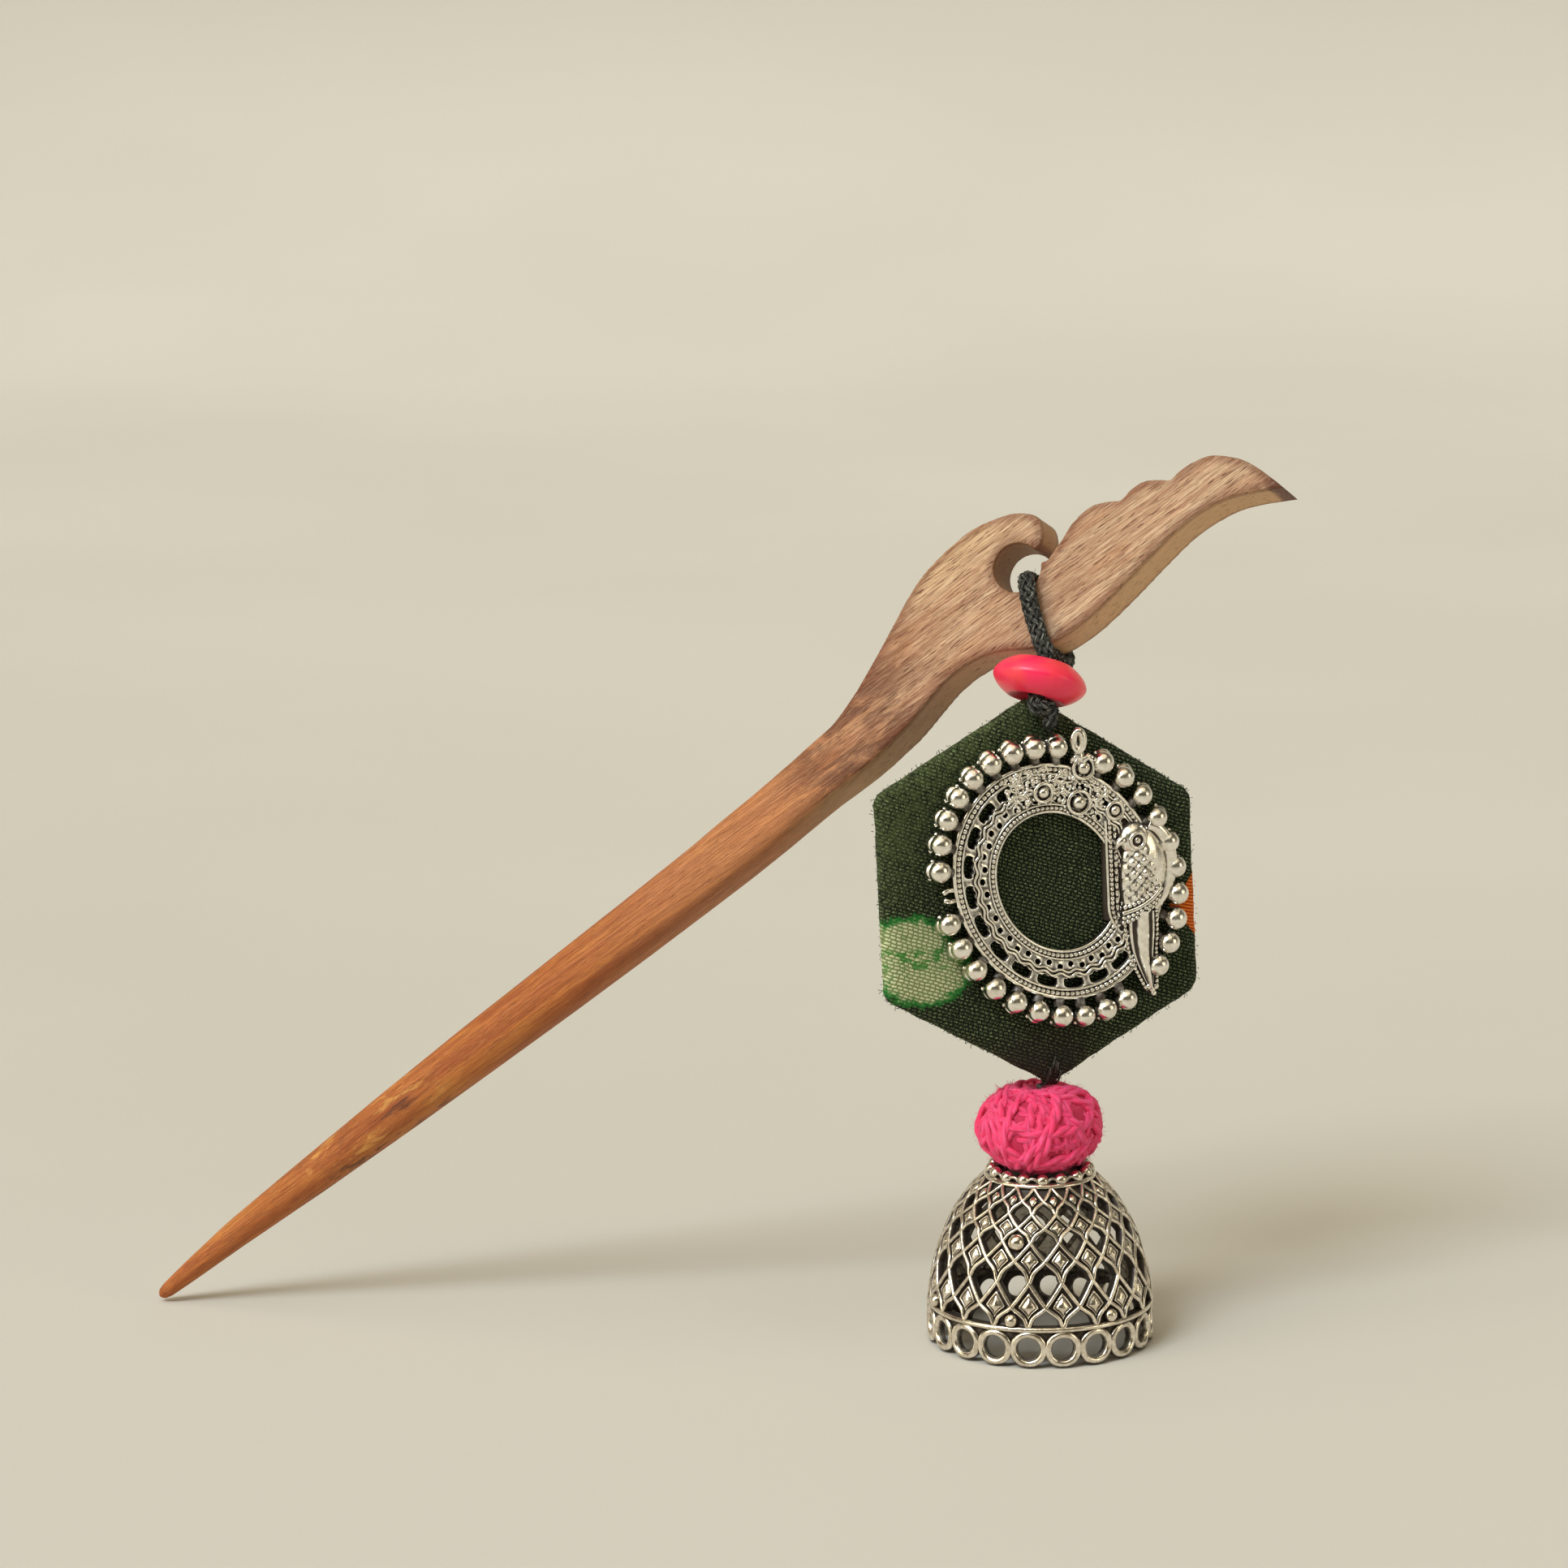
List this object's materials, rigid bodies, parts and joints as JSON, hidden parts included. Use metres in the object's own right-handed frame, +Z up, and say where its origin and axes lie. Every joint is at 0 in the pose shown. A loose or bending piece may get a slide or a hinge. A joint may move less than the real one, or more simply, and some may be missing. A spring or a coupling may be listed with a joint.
{
  "type": "hair stick with hanging drop",
  "caption": "Carved wooden hair stick with a scalloped wing, hung with a bead, a padded fabric hexagon with a filigree ring, a yarn ball and a pierced bell.",
  "frame": {"origin": "on the shaft's axis, 60 mm from the tip, where the hair holds the stick", "axes": "+Z up with the drop hanging along -Z; the stick's length lies in the XZ plane, rising from the tip at -X to the wing at +X; -Y is the front that the ring charm faces"},
  "size_m": [0.1468, 0.0303, 0.1113],
  "materials": {
    "wood": "oiled, fine grain along the stick",
    "cord": "braided",
    "bead": "worn soft gloss",
    "fabric": "twill, printed and embroidered",
    "silver": "oxidised silver, dark in the recesses",
    "yarn": "wound soft yarn"
  },
  "bodies": {
    "root": {"stick": "wood", "cord_loop": "cord", "saucer_bead": "bead", "fabric_hexagon": "fabric", "ring_charm": "silver", "lower_thread": "cord", "yarn_ball": "yarn", "bell": "silver"}
  },
  "joints": []
}
